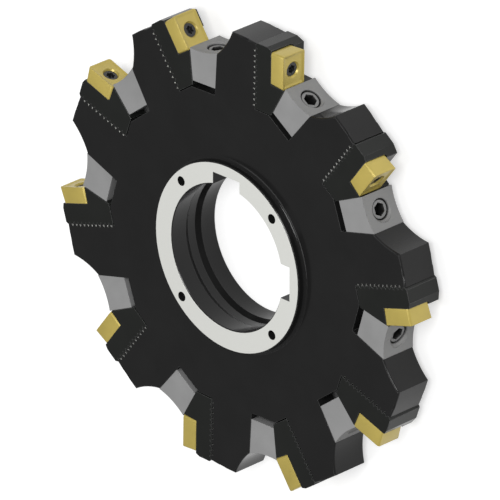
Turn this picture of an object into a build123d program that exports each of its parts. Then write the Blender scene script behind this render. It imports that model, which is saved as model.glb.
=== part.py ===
from build123d import *
import math
import os

# Side and face milling cutter with clamped cartridges, seen with its cutting side up (+Z).
# It lies on its far hub face: the origin is the middle of that face, +Z runs along the bore.
# Seen from above it turns clockwise. Every size is in millimetres, every angle in degrees.

# Whole cutter; the teeth are as many as fit round it with this spacing or a little more
cutting_diameter = 160.0
tooth_spacing = 50.0
first_tooth_angle = 73.2
disc_thickness = 13.6
tip_above_body = 2.0
body_edge_radius = 0.6

# Hub, bore and keyways
bore_diameter = 50.0
bore_chamfer = 0.3
relief_depth = 1.0
relief_length = 7.0
relief_slope = 2.0
hub_diameter = 65.0
boss_height = 3.1
boss_fillet = 1.2
boss_chamfer = 0.3
key_width = 12.0
key_floor_distance = 28.5
key_angles = (0.0, 90.0)

# Tapped holes in the near hub face
hub_hole_circle = 58.0
hub_hole_diameter = 3.3
hub_hole_depth = 10.0
hub_hole_count = 4
hub_hole_first_angle = 45.0

# Insert, with its length and width measured on the rake face
insert_length = 11.8
insert_width = 9.6
insert_thickness = 5.6
insert_corner = 0.8
insert_clearance_angle = 3.0
insert_overhang = 0.4
rake_lean = 15.5
breaker_land = 0.35
breaker_width = 1.1
breaker_depth = 0.4
breaker_corner = 0.5

# Insert screw
screw_diameter = 3.5
screw_head_diameter = 4.8
screw_head_angle = 60.0
screw_head_land = 0.2
screw_head_sink = 1.0
screw_engagement = 5.0
screw_hole_clearance = 0.2
tapped_hole_spare = 0.6
socket_core_diameter = 2.3
socket_lobe_diameter = 0.8
socket_lobe_count = 6
socket_depth = 1.4
thread_clearance = 0.05

# Cartridge, its foot and its top measured from the cutting tip along the rake face
seat_to_serration = 7.1
cartridge_foot = 22.1
cartridge_rise = 0.95
cartridge_proud = 0.1
cartridge_inset = 0.1
cartridge_chamfer = 0.8
front_bevel_angle = 21.0
front_bevel_start = 7.5
side_stop_height = 1.1
side_stop_depth = 6.1

# Serrations between the cartridge and the body, as many as fit above its foot
serration_pitch = 1.9
serration_first_depth = 0.6
serration_flank_angle = 30.0
cartridge_crest_cut = 0.8
body_crest_cut = 0.2

# Clamping wedge
wedge_lean = 17.9
wedge_angle = 10.0
wedge_step = 0.6
wedge_side_ahead = 0.25
wedge_side_length = 9.85
wedge_body_side_length = 12.65
wedge_foot_width = 10.3
wedge_inset = 0.1

# Clamping screw, threaded into the wedge and into the body
clamp_screw_diameter = 7.0
clamp_screw_recess = 0.8
clamp_screw_engagement = 9.0
clamp_screw_chamfer = 0.5
clamp_mouth_chamfer = 0.35
clamp_socket_flats = 4.0
clamp_socket_depth = 3.5
clamp_hole_spare = 1.0

# Pocket and chip gullet in the body, with the gaps over the pocket's floor
wedge_gap = 2.2
cartridge_gap = 0.4
cartridge_bevel_gap = 0.8
gullet_radius = 25.5
gullet_turn = -22.5
wedge_hollow_turn = -2.9

# How far a cutting solid runs past the faces it cuts
cut_past = 1.0

# Worked out from the sizes above
cutting_radius = cutting_diameter / 2
body_radius = cutting_radius - tip_above_body
tooth_count = int(math.pi * cutting_diameter / tooth_spacing)
hub_radius = hub_diameter / 2
bore_radius = bore_diameter / 2
hub_width = disc_thickness + 2 * boss_height
far_face = boss_height
near_face = boss_height + disc_thickness
insert_near = near_face + insert_overhang
insert_far = insert_near - insert_width
insert_middle = (insert_near + insert_far) / 2
insert_back = -insert_thickness
serration_line = insert_back - seat_to_serration
serration_slope = 1 / math.tan(math.radians(serration_flank_angle))
serration_height = serration_pitch / 4 * serration_slope
tooth_pitch = 360.0 / tooth_count
outside = 2 * tip_above_body + serration_pitch


def turned(length, angle):
    """Vector in the plane of the disc, turned clockwise from straight out (+Y)."""
    return Vector(length * math.sin(math.radians(angle)), length * math.cos(math.radians(angle)), 0)


# A tooth is drawn with its cutting tip straight out on +Y, and it cuts towards +X.
tip = Vector(0, cutting_radius, 0)
inward = turned(-1, -rake_lean)
ahead = turned(1, 90 - rake_lean)


def by_rake(depth, forward, height=0.0):
    """Point at a depth below the tip along the rake face, and so far ahead of that face."""
    return tip + inward * depth + ahead * forward + Vector(0, 0, height)


def crossing(point, direction, other, square):
    """Where a line meets a second line, which goes through other and is square to a direction."""
    return point + direction * ((other - point).dot(square) / direction.dot(square))


def block(points, bottom, top):
    """Straight-sided block on a closed outline, between two levels of Z."""
    outline = Polyline([(p.X, p.Y, bottom) for p in points], close=True)
    return extrude(make_face(outline), amount=top - bottom, dir=(0, 0, 1))


def round_block(centre, radius, bottom, top):
    """Upright cylinder between two levels of Z."""
    centred = (Align.CENTER, Align.CENTER, Align.MIN)
    return Pos(centre.X, centre.Y, bottom) * Cylinder(radius, top - bottom, align=centred)


def axis_distance(edge):
    """Distance of an edge's middle from the cutter's axis."""
    middle = edge.center()
    return math.hypot(middle.X, middle.Y)


# Lines that the cartridge, the wedge and the body share
cartridge_side = turned(-1, wedge_lean - wedge_angle / 2)
body_side = turned(-1, wedge_lean + wedge_angle / 2)
wedge_down = turned(-1, wedge_lean)
wedge_across = turned(1, wedge_lean + 90)
wedge_corner = by_rake(insert_length, wedge_side_ahead) + cartridge_side * wedge_step
wedge_foot_left = wedge_corner + cartridge_side * wedge_side_length
wedge_foot_right = wedge_foot_left + wedge_across * wedge_foot_width
wedge_foot_middle = (wedge_foot_left + wedge_foot_right) * 0.5
gullet_low = wedge_foot_right - body_side * wedge_body_side_length
gullet_centre = gullet_low + turned(gullet_radius, gullet_turn)
wedge_hollow_centre = gullet_low + turned(gullet_radius, wedge_hollow_turn)
wedge_floor = wedge_foot_left + wedge_down * wedge_gap
cartridge_bevel = wedge_floor - wedge_down * cartridge_bevel_gap
serration_count = int((cartridge_foot - serration_first_depth) / serration_pitch)


def serrations(lowest, highest):
    """Zigzag down the serrated joint, its crests cut flat between two levels ahead of the joint."""
    points = []
    for number in range(serration_count):
        start = serration_first_depth + number * serration_pitch
        middle = start + serration_pitch / 2
        end = start + serration_pitch
        points.append(by_rake(start, serration_line))
        points.append(by_rake(start + highest / serration_slope, serration_line + highest))
        if highest < serration_height:
            points.append(by_rake(middle - highest / serration_slope, serration_line + highest))
        points.append(by_rake(middle, serration_line))
        points.append(by_rake(middle - lowest / serration_slope, serration_line + lowest))
        if -lowest < serration_height:
            points.append(by_rake(end + lowest / serration_slope, serration_line + lowest))
    points.append(by_rake(serration_first_depth + serration_count * serration_pitch, serration_line))
    return points


def clamp_axis_to_hollow():
    """How far the wedge's outer face lies from its foot, along the clamping screw."""
    offset = wedge_foot_middle - wedge_hollow_centre
    along = -offset.dot(wedge_down)
    across = offset.dot(offset) - gullet_radius * gullet_radius
    return -along - math.sqrt(along * along - across)


clamp_surface = clamp_axis_to_hollow()
clamp_top = clamp_surface - clamp_screw_recess
clamp_bottom = -wedge_gap - clamp_screw_engagement
clamp_level = (near_face + far_face) / 2
clamp_plane = Plane(
    origin=wedge_foot_middle + Vector(0, 0, clamp_level),
    x_dir=(0, 0, 1),
    z_dir=wedge_down * -1,
)
rake_plane = Plane(
    origin=by_rake(insert_length / 2, 0, insert_middle),
    x_dir=(0, 0, 1),
    z_dir=ahead,
)


def rod(plane, radius, low, high):
    """Cylinder on a plane's axis, between two distances from the plane."""
    centred = (Align.CENTER, Align.CENTER, Align.MIN)
    return plane * Pos(0, 0, low) * Cylinder(radius, high - low, align=centred)


def taper(plane, low_radius, high_radius, low, high):
    """Cone on a plane's axis, between two distances from the plane."""
    centred = (Align.CENTER, Align.CENTER, Align.MIN)
    return plane * Pos(0, 0, low) * Cone(low_radius, high_radius, high - low, align=centred)


# Countersink of the insert and head of its screw, by distance ahead of the rake face
head_radius = screw_head_diameter / 2
shank_radius = screw_diameter / 2
head_slope = math.tan(math.radians(screw_head_angle / 2))
head_top = -screw_head_sink
cone_top = head_top - screw_head_land
cone_foot = cone_top - (head_radius - shank_radius) / head_slope
hole_radius = shank_radius + screw_hole_clearance
hole_foot = cone_top - (head_radius - hole_radius) / head_slope
mouth_radius = head_radius - cone_top * head_slope


def make_insert():
    """Indexable insert: flanks drawn in to the seat, chip breaker round the rake face, screw hole."""
    blank = rake_plane * RectangleRounded(insert_width, insert_length, insert_corner)
    body = extrude(blank, amount=-insert_thickness, taper=insert_clearance_angle)
    upper = rake_plane * RectangleRounded(
        insert_width - 2 * breaker_land, insert_length - 2 * breaker_land, insert_corner
    )
    inner = breaker_land + breaker_width
    floor_plane = rake_plane.offset(-breaker_depth)
    lower = floor_plane * RectangleRounded(
        insert_width - 2 * inner, insert_length - 2 * inner, breaker_corner
    )
    body -= loft([upper, lower])
    body -= rod(rake_plane, hole_radius, insert_back - cut_past, 0)
    body -= taper(rake_plane, hole_radius, mouth_radius, hole_foot, 0)
    return body


def make_insert_screw():
    """Countersunk screw with a six-lobed socket."""
    screw = rod(rake_plane, shank_radius, insert_back - screw_engagement, cone_foot)
    screw += taper(rake_plane, shank_radius, head_radius, cone_foot, cone_top)
    screw += rod(rake_plane, head_radius, cone_top, head_top)
    socket = Circle(socket_core_diameter / 2)
    lobe = Circle(socket_lobe_diameter / 2)
    socket += PolarLocations(socket_core_diameter / 2, socket_lobe_count) * lobe
    socket_plane = rake_plane.offset(head_top)
    screw -= extrude(socket_plane * socket, amount=-socket_depth)
    return screw


def bevel_top(forward):
    """Point on the cartridge's front bevel, which falls towards the insert."""
    fall = (forward + front_bevel_start) * math.tan(math.radians(front_bevel_angle))
    return by_rake(fall - cartridge_rise, forward)


def make_cartridge():
    """Cartridge: serrated back, bevelled top and foot, insert seat, stop behind the far side."""
    seat_end = insert_length - insert_thickness * math.tan(math.radians(insert_clearance_angle))
    back = serrations(-serration_height + cartridge_crest_cut, serration_height)
    foot_back = by_rake(cartridge_foot, serration_line)
    foot_corner = crossing(foot_back, ahead, cartridge_bevel, wedge_down)
    foot_front = crossing(wedge_corner, cartridge_side, cartridge_bevel, wedge_down)
    points = [by_rake(-cartridge_rise, serration_line + cartridge_chamfer)]
    points += [by_rake(-cartridge_rise + cartridge_chamfer, serration_line)] + back
    points += [foot_back, foot_corner, foot_front, wedge_corner, by_rake(insert_length, 0)]
    points += [by_rake(seat_end, insert_back), bevel_top(insert_back), bevel_top(-front_bevel_start)]
    cartridge_far = far_face + cartridge_inset
    body = block(points, cartridge_far, near_face + cartridge_proud)
    stop_front = insert_back + side_stop_height
    stop = block(
        [
            bevel_top(insert_back),
            by_rake(side_stop_depth, insert_back),
            by_rake(side_stop_depth, stop_front),
            bevel_top(stop_front),
        ],
        cartridge_far,
        insert_middle,
    )
    blank = rake_plane * Rectangle(insert_width, 4 * insert_length)
    body += stop - extrude(blank, amount=-insert_thickness, taper=insert_clearance_angle)
    tapped_radius = shank_radius + thread_clearance
    tapped_depth = screw_engagement + tapped_hole_spare
    body -= rod(rake_plane, tapped_radius, insert_back - tapped_depth, 0)
    return body


def make_wedge():
    """Clamping wedge: its hollow outer face carries the chip gullet on."""
    up = wedge_side_length + outside
    points = [
        wedge_corner - cartridge_side * outside,
        wedge_foot_left,
        wedge_foot_right,
        wedge_foot_right - body_side * up,
    ]
    body = block(points, far_face + wedge_inset, near_face - wedge_inset)
    body -= round_block(wedge_hollow_centre, gullet_radius, 0, hub_width)
    body = body.solids().sort_by(Axis.Y)[0]
    thread_radius = clamp_screw_diameter / 2 + thread_clearance
    body -= rod(clamp_plane, thread_radius, -cut_past, up)
    mouth_bottom = clamp_surface - clamp_mouth_chamfer
    mouth_top = clamp_surface + clamp_mouth_chamfer
    mouth_width = thread_radius + 2 * clamp_mouth_chamfer
    body -= taper(clamp_plane, thread_radius, mouth_width, mouth_bottom, mouth_top)
    body -= rod(clamp_plane, mouth_width, mouth_top, up)
    return body


def make_clamp_screw():
    """Clamping screw with a hexagon socket at its outer end."""
    radius = clamp_screw_diameter / 2
    screw = rod(clamp_plane, radius, clamp_bottom, clamp_top)
    ends = screw.edges().filter_by(GeomType.CIRCLE)
    screw = chamfer(ends, clamp_screw_chamfer)
    socket_plane = clamp_plane.offset(clamp_top)
    socket = socket_plane * RegularPolygon(clamp_socket_flats / 2, 6, major_radius=False)
    screw -= extrude(socket, amount=-clamp_socket_depth)
    return screw


def make_pocket():
    """Space cut out of the body for one tooth: cartridge and wedge pocket, gullet, screw hole."""
    back = serrations(-serration_height, serration_height - body_crest_cut)
    floor_left = by_rake(cartridge_foot + cartridge_gap, serration_line)
    floor_corner = crossing(floor_left, ahead, wedge_floor, wedge_down)
    floor_right = crossing(wedge_foot_right, body_side, wedge_floor, wedge_down)
    points = [by_rake(-outside, serration_line)] + back
    points += [floor_left, floor_corner, floor_right]
    reach = 2 * gullet_radius
    points += [floor_right - body_side * reach]
    pocket = block(points, -cut_past, hub_width + cut_past)
    beside_wedge = [
        wedge_foot_right,
        wedge_foot_right - body_side * reach,
        wedge_foot_right - body_side * reach + wedge_across * reach,
        wedge_foot_right + wedge_across * reach,
    ]
    gullet = round_block(gullet_centre, gullet_radius, -cut_past, hub_width + cut_past)
    pocket += gullet & block(beside_wedge, -cut_past, hub_width + cut_past)
    thread_radius = clamp_screw_diameter / 2 + thread_clearance
    pocket += rod(clamp_plane, thread_radius, clamp_bottom - clamp_hole_spare, 0)
    return pocket


def tooth_turn(number):
    """Turn that takes a tooth from +Y to its place; teeth are counted clockwise."""
    return Rot(0, 0, first_tooth_angle - 90 - number * tooth_pitch)


def make_disc():
    """Disc with a boss on each side, turned in one piece."""
    profile = Polyline(
        (bore_radius, 0),
        (hub_radius, 0),
        (hub_radius, far_face),
        (body_radius, far_face),
        (body_radius, near_face),
        (hub_radius, near_face),
        (hub_radius, hub_width),
        (bore_radius, hub_width),
        close=True,
    )
    section = make_face(profile)
    corners = section.vertices()
    feet = [v for v in corners if v.X == hub_radius and v.Y in (far_face, near_face)]
    section = fillet(feet, boss_fillet)
    heads = [v for v in section.vertices() if abs(v.X - hub_radius) < 1e-6 and v.Y in (0, hub_width)]
    section = chamfer(heads, boss_chamfer)
    mouths = [v for v in section.vertices() if abs(v.X - bore_radius) < 1e-6]
    section = chamfer(mouths, bore_chamfer)
    upright = Plane.XZ * section
    disc = revolve(upright, Axis.Z)
    middle = hub_width / 2
    mouth = relief_length / 2
    floor = mouth - relief_slope
    relief = Polyline(
        (bore_radius - relief_depth, middle - mouth),
        (bore_radius, middle - mouth),
        (bore_radius + relief_depth, middle - floor),
        (bore_radius + relief_depth, middle + floor),
        (bore_radius, middle + mouth),
        (bore_radius - relief_depth, middle + mouth),
        close=True,
    )
    disc -= revolve(Plane.XZ * make_face(relief), Axis.Z)
    return disc


def make_body():
    """Cutter body: disc, keyways, tapped holes, tooth pockets, its outer edges rounded."""
    body = make_disc()
    for number in range(tooth_count):
        body -= tooth_turn(number) * make_pocket()
    rim = ShapeList()
    for edge in body.edges().filter_by(GeomType.CIRCLE):
        level = edge.center().Z
        on_face = abs(level - near_face) < 1e-6 or abs(level - far_face) < 1e-6
        if on_face and axis_distance(edge) > (hub_radius + body_radius) / 2:
            rim.append(edge)
    body = fillet(rim, body_edge_radius)
    for angle in key_angles:
        key = Pos(key_floor_distance / 2, 0, hub_width / 2) * Box(
            key_floor_distance, key_width, hub_width + 2 * cut_past
        )
        body -= Rot(0, 0, angle) * key
    for number in range(hub_hole_count):
        angle = hub_hole_first_angle + number * 360 / hub_hole_count
        place = Rot(0, 0, angle) * Pos(hub_hole_circle / 2, 0, hub_width)
        drill = Cylinder(
            hub_hole_diameter / 2, hub_hole_depth, align=(Align.CENTER, Align.CENTER, Align.MAX)
        )
        body -= place * drill
    return body


def save(name, shape):
    export_step(shape, os.path.join("parts", name + ".step"))
    print(name, len(shape.solids()), "solid", round(shape.volume, 1), "mm3")


os.makedirs("parts", exist_ok=True)

cartridge = make_cartridge()
insert = make_insert()
wedge = make_wedge()
insert_screw = make_insert_screw()
clamp_screw = make_clamp_screw()

save("cutter_body", make_body())
for number in range(tooth_count):
    label = "_%02d" % (number + 1)
    save("cartridge" + label, tooth_turn(number) * cartridge)
    save("insert" + label, tooth_turn(number) * insert)
    save("wedge" + label, tooth_turn(number) * wedge)
save("insert_screws", Compound([tooth_turn(n) * insert_screw for n in range(tooth_count)]))
save("wedge_screws", Compound([tooth_turn(n) * clamp_screw for n in range(tooth_count)]))
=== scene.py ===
# %% [markdown]
# # Side and face cutter
#
# This cutter mills slots and shoulders. A black steel disc carries ten cartridges round its rim.
# Each cartridge holds a gold-coloured insert, and a grey wedge clamps the cartridge in its pocket.
#
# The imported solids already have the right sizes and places, so they are the frame for everything
# here. What they lack is finish: broken and honed edges that catch the light, a rounded slope in
# the inserts' chip breakers, and surfaces that look like blackened, blasted or coated metal.

# %% Load the frame
import bmesh
import bpy
import math
from mathutils import Matrix, Vector


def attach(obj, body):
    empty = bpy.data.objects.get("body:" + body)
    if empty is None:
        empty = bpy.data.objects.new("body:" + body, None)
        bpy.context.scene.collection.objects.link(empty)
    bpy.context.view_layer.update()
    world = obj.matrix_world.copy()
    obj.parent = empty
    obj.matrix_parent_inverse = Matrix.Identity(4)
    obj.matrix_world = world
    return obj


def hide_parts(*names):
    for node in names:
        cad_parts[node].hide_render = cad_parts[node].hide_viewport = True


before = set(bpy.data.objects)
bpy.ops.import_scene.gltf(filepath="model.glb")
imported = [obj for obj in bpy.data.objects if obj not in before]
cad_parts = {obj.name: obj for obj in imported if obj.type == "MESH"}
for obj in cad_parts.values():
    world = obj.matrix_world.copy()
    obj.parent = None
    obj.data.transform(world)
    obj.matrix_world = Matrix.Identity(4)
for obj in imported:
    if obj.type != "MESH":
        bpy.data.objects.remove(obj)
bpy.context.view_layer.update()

# %% [markdown]
# ## Sizes
#
# Blender works in metres here and a toolmaker in millimetres, so sizes are written in millimetres
# and multiplied by MM where a mesh is placed. They repeat the sizes of the solids.

# %% Sizes of the cutter
MM = 0.001
TEETH = 10
FIRST_TOOTH_ANGLE = 73.2
CUTTING_RADIUS = 80.0
HUB_WIDTH = 19.8
FAR_FACE = 3.1
NEAR_FACE = 16.7
RAKE_LEAN = 15.5

INSERT_LENGTH = 11.8
INSERT_WIDTH = 9.6
INSERT_THICKNESS = 5.6
INSERT_OVERHANG = 0.4
INSERT_MIDDLE = NEAR_FACE + INSERT_OVERHANG - INSERT_WIDTH / 2

# %% [markdown]
# ## Where a tooth stands
#
# Every tooth is the same, so a piece is modelled once on a simple bench and then carried to its ten
# places by matrices. The insert's bench has its rake face in the XY plane: X runs along the
# cutter's axis, Y points in towards the hub and Z points ahead, the way the tooth cuts.
#
# A matrix whose columns are those three directions, with the rake face's middle as its translation,
# carries the bench to a tooth on +Y. A turn about the cutter's axis carries it on to each tooth.

# %% Matrices from the bench to each tooth


def turned(length, angle):
    """Vector in the plane of the disc, turned clockwise from straight out (+Y)."""
    angle = math.radians(angle)
    return Vector((length * math.sin(angle), length * math.cos(angle), 0))


AHEAD = turned(1, 90 - RAKE_LEAN)
INWARD = turned(-1, -RAKE_LEAN)
ALONG = Vector((0, 0, 1))


def bench(x_axis, y_axis, z_axis, origin):
    """Matrix with these columns, such as one from a piece's bench to the tooth on +Y."""
    columns = Matrix((x_axis, y_axis, z_axis)).transposed().to_4x4()
    return Matrix.Translation(origin) @ columns


def tooth_places(bench_matrix):
    """Ten matrices from a bench in millimetres to the teeth in metres, counted clockwise."""
    places = []
    for number in range(TEETH):
        angle = FIRST_TOOTH_ANGLE - 90 - number * 360 / TEETH
        turn = Matrix.Rotation(math.radians(angle), 4, "Z")
        places.append(Matrix.Scale(MM, 4) @ turn @ bench_matrix)
    return places


tip = Vector((0, CUTTING_RADIUS, 0))
rake_middle = tip + INWARD * (INSERT_LENGTH / 2) + ALONG * INSERT_MIDDLE
insert_places = tooth_places(bench(ALONG, INWARD, AHEAD, rake_middle))
print("middle of the first rake face:", [round(v, 4) for v in insert_places[0].to_translation()])

# %% [markdown]
# ## Camera
#
# The photograph looks at the near face from about 40 degrees above the table, through a long lens:
# opposite inserts differ in size by only a few percent. The camera is rolled so far over that the
# cutter seems to stand on its rim. Place and turn of the camera were found by matching the corners
# of all ten inserts. A camera's own axes are right, up and back, so they are the columns of its
# matrix.

# %% Camera
SENSOR_WIDTH = 36
FOCAL_LENGTH = 637.6
FARTHEST_SEEN = 20
CAMERA_RIGHT = Vector((0.70687, -0.00198, -0.70734))
CAMERA_UP = Vector((-0.29857, 0.90571, -0.30091))
CAMERA_BACK = CAMERA_RIGHT.cross(CAMERA_UP)
CAMERA_PLACE = Vector((1825.0, 1205.7, 1829.5)) * MM

camera_data = bpy.data.cameras.new("camera")
camera_data.sensor_width = SENSOR_WIDTH
camera_data.lens = FOCAL_LENGTH
camera_data.clip_end = FARTHEST_SEEN
camera = bpy.data.objects.new("camera", camera_data)
bpy.context.scene.collection.objects.link(camera)
camera.matrix_world = bench(CAMERA_RIGHT, CAMERA_UP, CAMERA_BACK, CAMERA_PLACE)
bpy.context.scene.camera = camera
print("camera stands", round(CAMERA_PLACE.length, 2), "m from the cutter")

# %% [markdown]
# ## Materials: small helpers
#
# A node tree in code is mostly two steps said many times: add a node with some values on its
# inputs, and link a socket to it. These helpers say such steps once. The colour sockets of a Mix
# node share their names with its sockets for other kinds of data, so they are found by number.

# %% Helpers for node trees
MIX_FIRST_COLOUR = 6
MIX_SECOND_COLOUR = 7
MIX_COLOUR = 2


def added(tree, kind, values):
    """New node with these values on its inputs."""
    node = tree.nodes.new(kind)
    for socket, value in values.items():
        node.inputs[socket].default_value = value
    return node


def worked(tree, operation, *values):
    """Result of a Math node whose inputs are sockets or numbers."""
    node = tree.nodes.new("ShaderNodeMath")
    node.operation = operation
    for socket, value in zip(node.inputs, values):
        if isinstance(value, bpy.types.NodeSocket):
            tree.links.new(value, socket)
        else:
            socket.default_value = value
    return node.outputs["Value"]


def split(tree, vector):
    """X, Y and Z of a vector."""
    node = tree.nodes.new("ShaderNodeSeparateXYZ")
    tree.links.new(vector, node.inputs["Vector"])
    return node.outputs


def ranged(tree, value, start, end, low=0.0, high=1.0):
    """Value mapped from the range start to end onto low to high, and kept within it."""
    limits = {"From Min": start, "From Max": end, "To Min": low, "To Max": high}
    node = added(tree, "ShaderNodeMapRange", limits)
    tree.links.new(value, node.inputs["Value"])
    return node.outputs["Result"]


# %% [markdown]
# ## A metal finish
#
# Blackened steel, blasted steel, coated carbide and bright ground steel differ in three things:
# colour, how sharp their reflections are, and how fine their grain is. One function builds that
# common part of the node tree. Noise in object coordinates varies the roughness and the colour, and
# a finer noise drives a bump, so no finish is one flat value.
#
# The Bevel node gives the normal that the surface would have if its edges were rounded. The bump
# starts from that normal, so an edge catches the light where the mesh itself is sharp.

# %% A metal finish
CLOUD_SCALE = 90
CLOUD_DETAIL = 4
ROUGHNESS_SPREAD = 0.2
TINT_SPREAD = 0.08
TINT_ENDS = (0.3, 0.7)
GRAIN_DETAIL = 2
GRAIN_STRENGTH = 0.6
EDGE_RADIUS = 0.2
EDGE_SAMPLES = 4


def metal_finish(name, colour, roughness, grain, depth, metallic=0.0, specular=0.5):
    """Node material with uneven roughness and a fine grain; grain and depth are in millimetres."""
    material = bpy.data.materials.new(name)
    material.use_nodes = True
    tree = material.node_tree
    links = tree.links
    shader = tree.nodes["Principled BSDF"]
    shader.inputs["Metallic"].default_value = metallic
    shader.inputs["Specular IOR Level"].default_value = specular
    place = tree.nodes.new("ShaderNodeTexCoord")

    cloud = added(tree, "ShaderNodeTexNoise", {"Scale": CLOUD_SCALE, "Detail": CLOUD_DETAIL})
    links.new(place.outputs["Object"], cloud.inputs["Vector"])
    smooth = roughness * (1 - ROUGHNESS_SPREAD)
    rough = roughness * (1 + ROUGHNESS_SPREAD)
    links.new(ranged(tree, cloud.outputs["Fac"], 0, 1, smooth, rough), shader.inputs["Roughness"])
    tint = tree.nodes.new("ShaderNodeValToRGB")
    tint.name = "tint"
    for element, position, change in zip(tint.color_ramp.elements, TINT_ENDS, (-1, 1)):
        element.position = position
        element.color = (*[value * (1 + change * TINT_SPREAD) for value in colour], 1)
    links.new(cloud.outputs["Fac"], tint.inputs["Fac"])
    links.new(tint.outputs["Color"], shader.inputs["Base Color"])

    rounded = added(tree, "ShaderNodeBevel", {"Radius": EDGE_RADIUS * MM})
    rounded.name = "rounded"
    rounded.samples = EDGE_SAMPLES
    specks = added(tree, "ShaderNodeTexNoise", {"Scale": 1 / (grain * MM), "Detail": GRAIN_DETAIL})
    links.new(place.outputs["Object"], specks.inputs["Vector"])
    bump = added(tree, "ShaderNodeBump", {"Distance": depth * MM, "Strength": GRAIN_STRENGTH})
    links.new(specks.outputs["Fac"], bump.inputs["Height"])
    links.new(rounded.outputs["Normal"], bump.inputs["Normal"])
    links.new(bump.outputs["Normal"], shader.inputs["Normal"])
    return material


# %% [markdown]
# ## Wear and painted shade
#
# Edges of a real black part are worn a little brighter than its faces. Where the Bevel node's
# normal differs from the real one there is an edge, so their dot product is a mask for wear.
#
# Sockets, screw holes and gaps are darkened as painted shade. The Ambient Occlusion node tells how
# shut in a point is, so it darkens the colour there, on the grey parts, where it shows.

# %% Wear and painted shade
WORN_BLACK = (0.10, 0.10, 0.10, 1)
WEAR_STARTS = 0.999
WEAR_IS_FULL = 0.93
# Painted shade: this dark colour is mixed in where a surface is shut in.
SHADE_COLOUR = (0.01, 0.01, 0.01, 1)
SHADE_SAMPLES = 8
SHADE_IS_FULL = 0.35
SHADE_ENDS = 0.75
SHADE_IN_GAPS = 2.0
SHADE_IN_SOCKETS = 5.0


def tinted(material, factor, from_tint, colour):
    """Base colour mixed from the tint and another one; from_tint puts the tint at factor zero."""
    tree = material.node_tree
    mix = tree.nodes.new("ShaderNodeMix")
    mix.data_type = "RGBA"
    tint_socket = MIX_FIRST_COLOUR if from_tint else MIX_SECOND_COLOUR
    colour_socket = MIX_SECOND_COLOUR if from_tint else MIX_FIRST_COLOUR
    mix.inputs[colour_socket].default_value = colour
    tree.links.new(tree.nodes["tint"].outputs["Color"], mix.inputs[tint_socket])
    tree.links.new(factor, mix.inputs["Factor"])
    shader = tree.nodes["Principled BSDF"]
    tree.links.new(mix.outputs[MIX_COLOUR], shader.inputs["Base Color"])


def add_wear(material):
    """Brighter colour on the edges."""
    tree = material.node_tree
    surface = tree.nodes.new("ShaderNodeNewGeometry")
    facing = tree.nodes.new("ShaderNodeVectorMath")
    facing.operation = "DOT_PRODUCT"
    tree.links.new(tree.nodes["rounded"].outputs["Normal"], facing.inputs[0])
    tree.links.new(surface.outputs["Normal"], facing.inputs[1])
    edge = ranged(tree, facing.outputs["Value"], WEAR_STARTS, WEAR_IS_FULL)
    tinted(material, edge, True, WORN_BLACK)


def add_painted_shade(material, distance):
    """Painted shade: dark colour where the surface is shut in by others nearer than this many
    millimetres.
    """
    tree = material.node_tree
    shut_in = added(tree, "ShaderNodeAmbientOcclusion", {"Distance": distance * MM})
    shut_in.samples = SHADE_SAMPLES
    unshaded = ranged(tree, shut_in.outputs["AO"], SHADE_IS_FULL, SHADE_ENDS)
    tinted(material, unshaded, False, SHADE_COLOUR)


# %% [markdown]
# ## The finishes
#
# Blackened steel wears a thin oxide layer, dark but not metallic, and its low specular keeps the
# walls that face the white floor from turning grey. Blasted steel is matt. The coating on the
# inserts is partly metallic, so that it keeps its gold colour in a white room.

# %% The finishes
black_steel = metal_finish(
    "blackened_steel", (0.0135, 0.0135, 0.0135), roughness=0.15, grain=0.25, depth=0.002,
    specular=0.22,
)
add_wear(black_steel)
cartridge_black = metal_finish(
    "cartridge_black", (0.0135, 0.0145, 0.0133), roughness=0.18, grain=0.25, depth=0.002,
    specular=0.22,
)
add_wear(cartridge_black)
wedge_grey = metal_finish(
    "blasted_steel", (0.275, 0.275, 0.275), roughness=0.60, grain=0.12, depth=0.006
)
# Painted shade in the gaps round the wedge.
add_painted_shade(wedge_grey, SHADE_IN_GAPS)
gold_coating = metal_finish(
    "gold_coating", (0.56, 0.44, 0.105), roughness=0.34, grain=0.10, depth=0.001, metallic=0.25
)
screw_black = metal_finish(
    "blackened_screw", (0.012, 0.012, 0.012), roughness=0.30, grain=0.20, depth=0.002
)
add_wear(screw_black)
screw_grey = metal_finish(
    "blasted_screw", (0.26, 0.26, 0.26), roughness=0.50, grain=0.12, depth=0.004, metallic=0.2
)
# Painted shade in the sockets of the clamping screws.
add_painted_shade(screw_grey, SHADE_IN_SOCKETS)
print("finishes:", [material.name for material in bpy.data.materials])

# %% [markdown]
# ## Ground faces and painted highlights of the body
#
# The body is blackened all over and then ground where it has to be exact: the end faces of the hub,
# which seat on the arbor's spacers. There the steel is bright. The walls of the serrations that
# locate the cartridges get the same pale steel as a painted highlight.
#
# The body is one piece, so these places are masks in its material. The hub's end faces are where
# the surface is as high as they are. The serrations of ten teeth are the same place ten times over,
# so the coordinates are folded: the angle round the axis is snapped down to a whole number of
# teeth, and turning the point back by it brings every tooth onto the first.

# %% Masks for the ground faces and the painted highlights
END_FACE_DEPTH = 0.02
UPRIGHT_TILT = 0.5
SERRATION_LINE = -12.7
SERRATION_REACH = 0.85
SERRATION_MIDDLE = 11.05
SERRATION_HALF = 10.5


def end_face_mask(tree, place):
    """One on the hub's end faces."""
    height = split(tree, place.outputs["Object"])["Z"]
    from_middle = worked(tree, "ABSOLUTE", worked(tree, "SUBTRACT", height, HUB_WIDTH / 2 * MM))
    return worked(tree, "GREATER_THAN", from_middle, (HUB_WIDTH / 2 - END_FACE_DEPTH) * MM)


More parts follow.
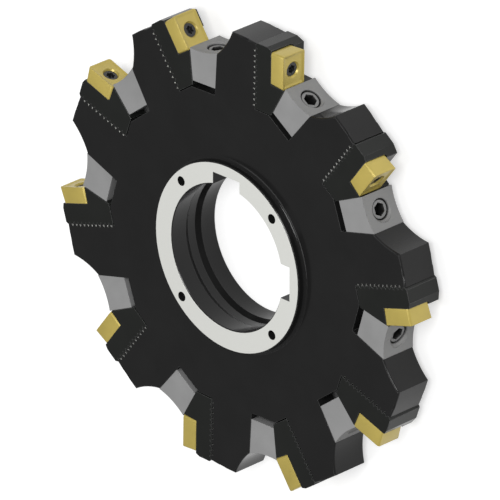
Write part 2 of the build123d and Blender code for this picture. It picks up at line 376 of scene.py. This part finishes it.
def folded_point(tree, place):
    """Point turned back to the first tooth, with X ahead of its rake face and Y out along it."""
    position = split(tree, place.outputs["Object"])
    pitch = math.tau / TEETH
    first = math.radians(90 - FIRST_TOOTH_ANGLE)
    clockwise = worked(tree, "ARCTAN2", position["X"], position["Y"])
    passed = worked(tree, "SNAP", worked(tree, "SUBTRACT", clockwise, first - pitch / 2), pitch)
    back = worked(tree, "ADD", passed, first - math.radians(RAKE_LEAN))
    folded = tree.nodes.new("ShaderNodeVectorRotate")
    folded.rotation_type = "Z_AXIS"
    tree.links.new(place.outputs["Object"], folded.inputs["Vector"])
    tree.links.new(back, folded.inputs["Angle"])
    return split(tree, folded.outputs["Vector"])


def serration_highlight_mask(tree, place):
    """One on the walls of the serrations, where a highlight is painted."""
    tilt = worked(tree, "ABSOLUTE", split(tree, place.outputs["Normal"])["Z"])
    upright = worked(tree, "LESS_THAN", tilt, UPRIGHT_TILT)
    in_tooth = folded_point(tree, place)
    level = (tip.dot(AHEAD) + SERRATION_LINE) * MM
    beside = worked(tree, "COMPARE", in_tooth["X"], level, SERRATION_REACH * MM)
    middle = (-tip.dot(INWARD) - SERRATION_MIDDLE) * MM
    along = worked(tree, "COMPARE", in_tooth["Y"], middle, SERRATION_HALF * MM)
    return worked(tree, "MULTIPLY", upright, worked(tree, "MULTIPLY", beside, along))


# %% [markdown]
# ## Ground steel and painted highlights over black
#
# Where a mask is one, a second shader takes over: pale and smoother, with fine rings round the axis
# in its bump, which are the marks of the grinding. On the hub's end faces it is ground steel; on
# the serration walls the pale colour is a painted highlight.

# %% Bright steel and painted highlights in the body's material
# Pale steel: ground steel on the hub's end faces, a painted highlight on the serration walls.
GROUND_AND_HIGHLIGHT_COLOUR = (0.82, 0.825, 0.785, 1)
GROUND_AND_HIGHLIGHT_METALLIC = 0.3
GROUND_AND_HIGHLIGHT_ROUGHNESS = 0.45
RING_SCALE = 900
RING_DISTORTION = 2
RING_DETAIL = 3
RING_DEPTH = 0.002
RING_STRENGTH = 0.5


def add_ground_faces_and_highlights(material):
    """Ground steel on the hub's end faces, and the same pale steel as a painted highlight on the
    serrations.
    """
    tree = material.node_tree
    steel = {
        "Base Color": GROUND_AND_HIGHLIGHT_COLOUR, "Metallic": GROUND_AND_HIGHLIGHT_METALLIC, "Roughness": GROUND_AND_HIGHLIGHT_ROUGHNESS
    }
    ground_and_highlight = added(tree, "ShaderNodeBsdfPrincipled", steel)
    place = tree.nodes.new("ShaderNodeTexCoord")
    waves = {"Scale": RING_SCALE, "Distortion": RING_DISTORTION, "Detail": RING_DETAIL}
    rings = added(tree, "ShaderNodeTexWave", waves)
    rings.wave_type = "RINGS"
    rings.rings_direction = "Z"
    tree.links.new(place.outputs["Object"], rings.inputs["Vector"])
    bump = added(tree, "ShaderNodeBump", {"Distance": RING_DEPTH * MM, "Strength": RING_STRENGTH})
    tree.links.new(rings.outputs["Fac"], bump.inputs["Height"])
    tree.links.new(bump.outputs["Normal"], ground_and_highlight.inputs["Normal"])
    # The serration part of this mask paints a highlight on the serration walls.
    mask = worked(tree, "MAXIMUM", end_face_mask(tree, place), serration_highlight_mask(tree, place))
    mix = tree.nodes.new("ShaderNodeMixShader")
    tree.links.new(mask, mix.inputs["Fac"])
    tree.links.new(tree.nodes["Principled BSDF"].outputs["BSDF"], mix.inputs[1])
    tree.links.new(ground_and_highlight.outputs["BSDF"], mix.inputs[2])
    tree.links.new(mix.outputs["Shader"], tree.nodes["Material Output"].inputs["Surface"])


add_ground_faces_and_highlights(black_steel)
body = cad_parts["cutter_body"]
body.data.materials.clear()
body.data.materials.append(black_steel)
print("body wears", body.data.materials[0].name)

# %% [markdown]
# ## From a mesh to a piece
#
# A finished piece is an object at the origin, with its place in its mesh. It gets its material,
# the solid it stands for is hidden, and it is parented to an empty for the body it rides on.
# Nothing moves on this cutter, so every piece rides on the root.

# %% Piece that stands for a solid


def as_piece(mesh, name, material, node):
    """Object with this mesh and material, standing for a CAD node."""
    mesh.materials.append(material)
    piece = bpy.data.objects.new(name, mesh)
    bpy.context.scene.collection.objects.link(piece)
    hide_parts(node)
    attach(piece, "root")
    return piece


# %% [markdown]
# ## Broken edges
#
# No edge on a real tool is sharp. A fitter breaks it with a file or it is tumbled, and the thin
# rounding shows as a light line. The solids of cartridges and wedges are copied, their loose
# triangles are merged, flat faces are made whole again, and a Bevel modifier rounds the edges.
#
# Rounding by angle alone would also catch the serrations, whose flats are so narrow that two
# roundings would cross. So edges are chosen: sharp, long enough, and with a face on each side that
# is wide enough. A face's mean width beside an edge is its area divided by the edge's length.

# %% Copies of cartridges and wedges with rounded edges
MERGE_DISTANCE = 0.0005
FLAT_ANGLE = 0.4
SHARP_ANGLE = 20
SHORTEST = 2.5
NARROWEST = 1.0
ROUNDING_SEGMENTS = 2
CARTRIDGE_ROUNDING = 0.15
WEDGE_ROUNDING = 0.1


def is_broken(edge):
    """Whether an edge is to be rounded; an open edge counts as smooth, so it never is."""
    if edge.smooth or edge.calc_length() <= SHORTEST * MM:
        return False
    width_beside = min(face.calc_area() for face in edge.link_faces) / edge.calc_length()
    return width_beside > NARROWEST * MM


def rounded_copy(node, name, material, width):
    """Copy of a CAD node whose long sharp edges are rounded by width, in millimetres."""
    bm = bmesh.new()
    bm.from_mesh(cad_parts[node].data)
    bmesh.ops.remove_doubles(bm, verts=bm.verts, dist=MERGE_DISTANCE * MM)
    flat = math.radians(FLAT_ANGLE)
    bmesh.ops.dissolve_limit(bm, angle_limit=flat, verts=bm.verts, edges=bm.edges, delimit=set())
    weight = bm.edges.layers.float.new("bevel_weight_edge")
    for edge in bm.edges:
        edge.smooth = edge.calc_face_angle(0) <= math.radians(SHARP_ANGLE)
        if is_broken(edge):
            edge[weight] = 1
    for face in bm.faces:
        face.smooth = True
    mesh = bpy.data.meshes.new(name)
    bm.to_mesh(mesh)
    bm.free()
    piece = as_piece(mesh, name, material, node)
    rounding = piece.modifiers.new("rounded_edges", "BEVEL")
    rounding.limit_method = "WEIGHT"
    rounding.width = width * MM
    rounding.segments = ROUNDING_SEGMENTS
    rounding.use_clamp_overlap = False
    rounding.harden_normals = True


labels = ["%02d" % (number + 1) for number in range(TEETH)]
for label in labels:
    rounded_copy(
        "cartridge_" + label, "carrier_" + label, cartridge_black,
        CARTRIDGE_ROUNDING,
    )
    rounded_copy(
        "wedge_" + label, "clamp_wedge_" + label, wedge_grey, WEDGE_ROUNDING
    )
print("rounded copies:", 2 * TEETH)

# %% [markdown]
# ## From a bench mesh to its places
#
# Inserts and screws are made new. Each is one bmesh on its bench, and a helper writes it out as a
# piece: a copy at each place it belongs, all in one mesh. Faces are smooth, and edges sharper than
# 30 degrees stay crisp.
#
# Screws and holes are turned forms, so two more helpers draw them ring by ring.

# %% Write a bench mesh out as a piece
CRISP_ANGLE = 30
JOINED_DISTANCE = 0.001
ROUND_SEGMENTS = 48


def set_out(bench_mesh, name, places, material, node):
    """Piece with a copy of the bench mesh at each place, standing for a CAD node."""
    whole = bmesh.new()
    for place in places:
        copy = bench_mesh.copy()
        copy.transform(place)
        whole.from_mesh(copy)
        bpy.data.meshes.remove(copy)
    mesh = bpy.data.meshes.new(name)
    whole.to_mesh(mesh)
    whole.free()
    mesh.shade_smooth()
    mesh.set_sharp_from_angle(angle=math.radians(CRISP_ANGLE))
    as_piece(mesh, name, material, node)


def to_bench_mesh(bm, name):
    """Mesh from a bmesh in millimetres, closed and with its faces turned outwards."""
    bmesh.ops.remove_doubles(bm, verts=bm.verts, dist=JOINED_DISTANCE)
    bmesh.ops.recalc_face_normals(bm, faces=bm.faces)
    open_edges = [edge for edge in bm.edges if len(edge.link_faces) != 2]
    mesh = bpy.data.meshes.new(name)
    bm.to_mesh(mesh)
    print(name, "has", len(bm.faces), "faces and", len(open_edges), "open edges")
    bm.free()
    return mesh


def circle(bm, radius, height, segments=ROUND_SEGMENTS):
    """Loop of edges round the Z axis, each one once and always in the same order."""
    place = Matrix.Translation((0, 0, height))
    made = bmesh.ops.create_circle(
        bm, cap_ends=False, segments=segments, radius=radius, matrix=place
    )
    return list(dict.fromkeys(edge for vert in made["verts"] for edge in vert.link_edges))


def drawn(bm, loop, radius, height):
    """Next ring of a turned form: the loop extruded to a height and scaled to a largest radius."""
    made = bmesh.ops.extrude_edge_only(bm, edges=loop)["geom"]
    verts = [item for item in made if isinstance(item, bmesh.types.BMVert)]
    factor = radius / max(vert.co.xy.length for vert in verts)
    bmesh.ops.scale(bm, verts=verts, vec=(factor, factor, 1))
    bmesh.ops.translate(bm, verts=verts, vec=(0, 0, height - verts[0].co.z))
    edges = [item for item in made if isinstance(item, bmesh.types.BMEdge)]
    return [edge for edge in edges if edge.verts[0] in verts and edge.verts[1] in verts]


# %% [markdown]
# ## Inserts
#
# An insert is a pressed and sintered carbide plate with a thin gold-coloured coating. Its flanks
# draw in towards the seat, its cutting edge is honed round, and behind a narrow land the rake face
# dips into a chip breaker. It could be cut from a block with booleans, but drawing it face by face
# follows the way such a form is designed: outline, land, slope, floor.
#
# The plate starts as one face whose four corners are rounded by a vertex bevel. Extruding it makes
# the flanks, and an edge bevel round the largest of the top faces makes the hone.

# %% Insert: plate and hone
INSERT_CORNER = 0.8
CORNER_SEGMENTS = 6
CLEARANCE = math.tan(math.radians(3.0))
HONE = 0.06
HONE_SEGMENTS = 2


def top_face(bm):
    """Largest face among the highest ones."""
    top = max(face.calc_center_median().z for face in bm.faces)
    level = [face for face in bm.faces if face.calc_center_median().z > top - JOINED_DISTANCE]
    return max(level, key=lambda face: face.calc_area())


bm = bmesh.new()
bmesh.ops.create_grid(bm, x_segments=1, y_segments=1, size=0.5)
bmesh.ops.scale(bm, verts=bm.verts, vec=(INSERT_WIDTH, INSERT_LENGTH, 1))
bmesh.ops.bevel(
    bm, geom=bm.verts[:], affect="VERTICES", offset=INSERT_CORNER, segments=CORNER_SEGMENTS,
    profile=0.5, material=-1,
)
seat = bmesh.ops.extrude_face_region(bm, geom=bm.faces[:])["geom"]
seat_verts = [item for item in seat if isinstance(item, bmesh.types.BMVert)]
bmesh.ops.translate(bm, verts=seat_verts, vec=(0, 0, -INSERT_THICKNESS))
draw_in = 2 * INSERT_THICKNESS * CLEARANCE
seat_scale = (1 - draw_in / INSERT_WIDTH, 1 - draw_in / INSERT_LENGTH, 1)
bmesh.ops.scale(bm, verts=seat_verts, vec=seat_scale)
bmesh.ops.recalc_face_normals(bm, faces=bm.faces)
bmesh.ops.bevel(
    bm, geom=top_face(bm).edges[:], affect="EDGES", offset=HONE, segments=HONE_SEGMENTS,
    profile=0.5, material=-1,
)
print("plate and hone:", len(bm.faces), "faces")

# %% [markdown]
# ## Chip breaker and hole
#
# The land is an inset, which keeps its width all round. The breaker's slope is made of insets of no
# width that are scaled and sunk, because an inset wider than the corner's radius would fold over.
# Each step is a width and a depth, and they flatten towards the floor.
#
# The hole is bridged from the floor's outline to a circle, drawn down ring by ring through a small
# chamfer and the countersink, and bridged to the outline of the seat.

# %% Insert: chip breaker and hole
LAND = 0.3
BREAKER_STEPS = ((0.25, 0.15), (0.25, 0.12), (0.3, 0.09), (0.35, 0.04))
HOLE_RADIUS = 1.95
HEAD_RADIUS = 2.4
HEAD_DEPTH = 1.0
CONE = math.tan(math.radians(30))
MOUTH_CHAMFER = 0.12


def cone_radius(depth):
    """Radius of the countersink at a depth under the rake face."""
    return HEAD_RADIUS + (HEAD_DEPTH - depth) * CONE


rake = top_face(bm)
bmesh.ops.inset_region(bm, faces=[rake], thickness=LAND, use_even_offset=True)
reach = HONE + LAND
for width, depth in BREAKER_STEPS:
    bmesh.ops.inset_region(bm, faces=[rake], thickness=0)
    spans = (INSERT_WIDTH - 2 * reach, INSERT_LENGTH - 2 * reach)
    narrow = (1 - 2 * width / spans[0], 1 - 2 * width / spans[1], 1)
    bmesh.ops.scale(bm, verts=rake.verts, vec=narrow)
    bmesh.ops.translate(bm, verts=rake.verts, vec=(0, 0, -depth))
    reach += width
floor_depth = -rake.verts[0].co.z
floor_loop = rake.edges[:]
base = min(bm.faces, key=lambda face: face.calc_center_median().z)
base_loop = base.edges[:]
bmesh.ops.delete(bm, geom=[rake, base], context="FACES_ONLY")
mouth = circle(bm, cone_radius(floor_depth) + MOUTH_CHAMFER / 2, -floor_depth)
bmesh.ops.bridge_loops(bm, edges=floor_loop + mouth)
cone_start = floor_depth + MOUTH_CHAMFER
cone_end = HEAD_DEPTH + (HEAD_RADIUS - HOLE_RADIUS) / CONE
wall = drawn(bm, mouth, cone_radius(cone_start), -cone_start)
wall = drawn(bm, wall, HOLE_RADIUS, -cone_end)
wall = drawn(bm, wall, HOLE_RADIUS, -INSERT_THICKNESS)
bmesh.ops.bridge_loops(bm, edges=wall + base_loop)
insert_mesh = to_bench_mesh(bm, "insert_bench")

for label, place in zip(labels, insert_places):
    name = "indexable_insert_" + label
    set_out(insert_mesh, name, [place], gold_coating, "insert_" + label)

# %% [markdown]
# ## Insert screws
#
# Each insert is held by a countersunk screw with a six-lobed socket. The socket is a circle whose
# vertices are scaled in between the lobes, group by group. Its rim is bridged to the edge of the
# head, and the rest of the screw is that edge drawn on ring by ring: rim, cone, shank.

# %% Insert screw on its bench
SOCKET_RADIUS = 1.55
SOCKET_DEPTH = 1.4
LOBES = 6
LOBE_SCALES = (1.0, 0.97, 0.88, 0.79, 0.76, 0.79, 0.88, 0.97)
SHANK_RADIUS = 1.75
RIM_CHAMFER = 0.12
HEAD_LAND = 0.2
ENGAGEMENT = 5.0
SCREW_DEPTH = INSERT_THICKNESS + ENGAGEMENT
POINT_CHAMFER = 0.3
around = LOBES * len(LOBE_SCALES)

bm = bmesh.new()
socket_rim = circle(bm, SOCKET_RADIUS, -HEAD_DEPTH, around)
bm.verts.ensure_lookup_table()
for step, scale in enumerate(LOBE_SCALES):
    group = [bm.verts[index] for index in range(step, around, len(LOBE_SCALES))]
    bmesh.ops.scale(bm, verts=group, vec=(scale, scale, 1))
head_edge = circle(bm, HEAD_RADIUS - RIM_CHAMFER, -HEAD_DEPTH, around)
bmesh.ops.bridge_loops(bm, edges=socket_rim + head_edge)
cone_end = HEAD_DEPTH + HEAD_LAND + (HEAD_RADIUS - SHANK_RADIUS) / CONE
ring = drawn(bm, head_edge, HEAD_RADIUS, -HEAD_DEPTH - RIM_CHAMFER)
ring = drawn(bm, ring, HEAD_RADIUS, -HEAD_DEPTH - HEAD_LAND)
ring = drawn(bm, ring, SHANK_RADIUS, -cone_end)
ring = drawn(bm, ring, SHANK_RADIUS, POINT_CHAMFER - SCREW_DEPTH)
ring = drawn(bm, ring, SHANK_RADIUS - POINT_CHAMFER, -SCREW_DEPTH)
bmesh.ops.edgeloop_fill(bm, edges=ring)
wall = drawn(bm, socket_rim, SOCKET_RADIUS, -HEAD_DEPTH - SOCKET_DEPTH)
bmesh.ops.edgeloop_fill(bm, edges=wall)
screw_mesh = to_bench_mesh(bm, "insert_screw_bench")
set_out(screw_mesh, "six_lobe_screws", insert_places, screw_black, "insert_screws")

# %% [markdown]
# ## Clamping screws: where they stand
#
# A clamping screw runs through the wedge into the body and draws the wedge in. Only its end shows,
# in the hole in the wedge's hollow outer face. Its bench stands on the wedge's foot: Z runs out
# along the screw and X along the cutter's axis.
#
# The foot's place follows from the wedge's side against the cartridge, which runs in from the foot
# of the rake face. The circle of the hollow passes through the outer end of the wedge's other side.
# The hollow face is where the screw's axis meets that circle.

# %% Places of the clamping screws
WEDGE_LEAN = 17.9
WEDGE_ANGLE = 10.0
WEDGE_STEP = 0.6
WEDGE_SIDE_AHEAD = 0.25
WEDGE_SIDE = 9.85
WEDGE_BODY_SIDE = 12.65
WEDGE_FOOT = 10.3
HOLLOW_RADIUS = 25.5
HOLLOW_TURN = -2.9
CLAMP_RECESS = 0.8

cartridge_side = turned(-1, WEDGE_LEAN - WEDGE_ANGLE / 2)
out = turned(1, WEDGE_LEAN)
body_side = turned(-1, WEDGE_LEAN + WEDGE_ANGLE / 2)
rake_foot = tip + INWARD * INSERT_LENGTH + AHEAD * WEDGE_SIDE_AHEAD
foot_left = rake_foot + cartridge_side * (WEDGE_STEP + WEDGE_SIDE)
foot_middle = foot_left + turned(WEDGE_FOOT / 2, WEDGE_LEAN + 90)
foot_right = foot_left + turned(WEDGE_FOOT, WEDGE_LEAN + 90)
hollow_centre = foot_right - body_side * WEDGE_BODY_SIDE + turned(HOLLOW_RADIUS, HOLLOW_TURN)
offset = foot_middle - hollow_centre
along = offset.dot(out)
inside_circle = HOLLOW_RADIUS * HOLLOW_RADIUS - offset.dot(offset)
clamp_surface = -along - math.sqrt(along * along + inside_circle)
clamp_top = clamp_surface - CLAMP_RECESS
foot_middle.z = (NEAR_FACE + FAR_FACE) / 2
clamp_places = tooth_places(bench(ALONG, out.cross(ALONG), out, foot_middle))
print("clamping screw ends", round(clamp_top, 2), "mm above the wedge's foot")

# %% [markdown]
# ## Clamping screws: the shape
#
# The screw has no head, so its outer end is a ring bridged from the hexagon socket to the chamfer.
# The size across a hexagon's flats is the one a key fits, and its corners lie farther out.

# %% Clamping screw on its bench
CLAMP_RADIUS = 3.5
CLAMP_CHAMFER = 0.5
CLAMP_DEPTH = 11.2
HEXAGON_FLATS = 4.0
HEXAGON_DEPTH = 3.5
HEXAGON_RADIUS = HEXAGON_FLATS / 2 / math.cos(math.radians(30))

bm = bmesh.new()
hexagon = circle(bm, HEXAGON_RADIUS, clamp_top, 6)
end_edge = circle(bm, CLAMP_RADIUS - CLAMP_CHAMFER, clamp_top)
bmesh.ops.bridge_loops(bm, edges=hexagon + end_edge)
ring = drawn(bm, end_edge, CLAMP_RADIUS, clamp_top - CLAMP_CHAMFER)
ring = drawn(bm, ring, CLAMP_RADIUS, CLAMP_CHAMFER - CLAMP_DEPTH)
ring = drawn(bm, ring, CLAMP_RADIUS - CLAMP_CHAMFER, -CLAMP_DEPTH)
bmesh.ops.edgeloop_fill(bm, edges=ring)
wall = drawn(bm, hexagon, HEXAGON_RADIUS, clamp_top - HEXAGON_DEPTH)
bmesh.ops.edgeloop_fill(bm, edges=wall)
screw_mesh = to_bench_mesh(bm, "clamp_screw_bench")
set_out(screw_mesh, "hexagon_screws", clamp_places, screw_grey, "wedge_screws")

# %% [markdown]
# ## Floor
#
# The photograph has a plain white ground. The floor is pale, and for camera and glossy rays some
# light of its own lifts it to white without putting more light on the tool. Its diffuse part still
# darkens under the cutter, so the shadow stays.

# %% Floor
FLOOR_SIZE = 4.0
FLOOR_COLOUR = (0.64, 0.64, 0.64, 1)
FLOOR_ROUGHNESS = 0.9
FLOOR_LIFT = 0.58

bm = bmesh.new()
bmesh.ops.create_grid(bm, x_segments=1, y_segments=1, size=FLOOR_SIZE / 2)
floor_mesh = bpy.data.meshes.new("floor")
bm.to_mesh(floor_mesh)
bm.free()
floor = bpy.data.objects.new("floor", floor_mesh)
bpy.context.scene.collection.objects.link(floor)

floor_material = bpy.data.materials.new("white_floor")
floor_material.use_nodes = True
tree = floor_material.node_tree
matt = tree.nodes["Principled BSDF"]
matt.inputs["Base Color"].default_value = FLOOR_COLOUR
matt.inputs["Roughness"].default_value = FLOOR_ROUGHNESS
matt.inputs["Specular IOR Level"].default_value = 0.0
ray = tree.nodes.new("ShaderNodeLightPath")
seen = worked(tree, "MAXIMUM", ray.outputs["Is Camera Ray"], ray.outputs["Is Glossy Ray"])
lift = tree.nodes.new("ShaderNodeEmission")
tree.links.new(worked(tree, "MULTIPLY", seen, FLOOR_LIFT), lift.inputs["Strength"])
both = tree.nodes.new("ShaderNodeAddShader")
tree.links.new(matt.outputs["BSDF"], both.inputs[0])
tree.links.new(lift.outputs["Emission"], both.inputs[1])
tree.links.new(both.outputs["Shader"], tree.nodes["Material Output"].inputs["Surface"])
floor_mesh.materials.append(floor_material)
print("floor:", FLOOR_SIZE, "m square")

# %% [markdown]
# ## Lamps and sky
#
# A dim even sky keeps the flat black faces black, because they mirror it. Three soft lamps do the
# rest: the key stands near the camera, so that rounded edges turned towards it shine, the top lamp
# hangs over the cutter and draws a light line on the rim's edges at the right, and the fill stands
# over the far left.

# %% Lamps and sky
SKY_STRENGTH = 0.25
LAMP_SIZE = 0.6
LAMPS = {
    "key": ((0.7, 0.65, 1.1), 12),
    "top": ((-0.22, -0.17, 1.3), 4),
    "fill": ((-0.5, 0.4, 1.2), 1.8),
}

world = bpy.data.worlds.new("studio")
bpy.context.scene.world = world
world.use_nodes = True
sky = world.node_tree.nodes["Background"]
sky.inputs["Color"].default_value = (1, 1, 1, 1)
sky.inputs["Strength"].default_value = SKY_STRENGTH

for name, (place, power) in LAMPS.items():
    lamp_data = bpy.data.lights.new(name, "AREA")
    lamp_data.shape = "SQUARE"
    lamp_data.size = LAMP_SIZE
    lamp_data.energy = power
    lamp = bpy.data.objects.new(name, lamp_data)
    bpy.context.scene.collection.objects.link(lamp)
    lamp.location = place
    lamp.rotation_euler = Vector(place).to_track_quat("Z", "Y").to_euler()
print("lamps:", [lamp.name for lamp in bpy.data.lights])

# %% Look and finish
bpy.context.scene.view_settings.view_transform = "Standard"
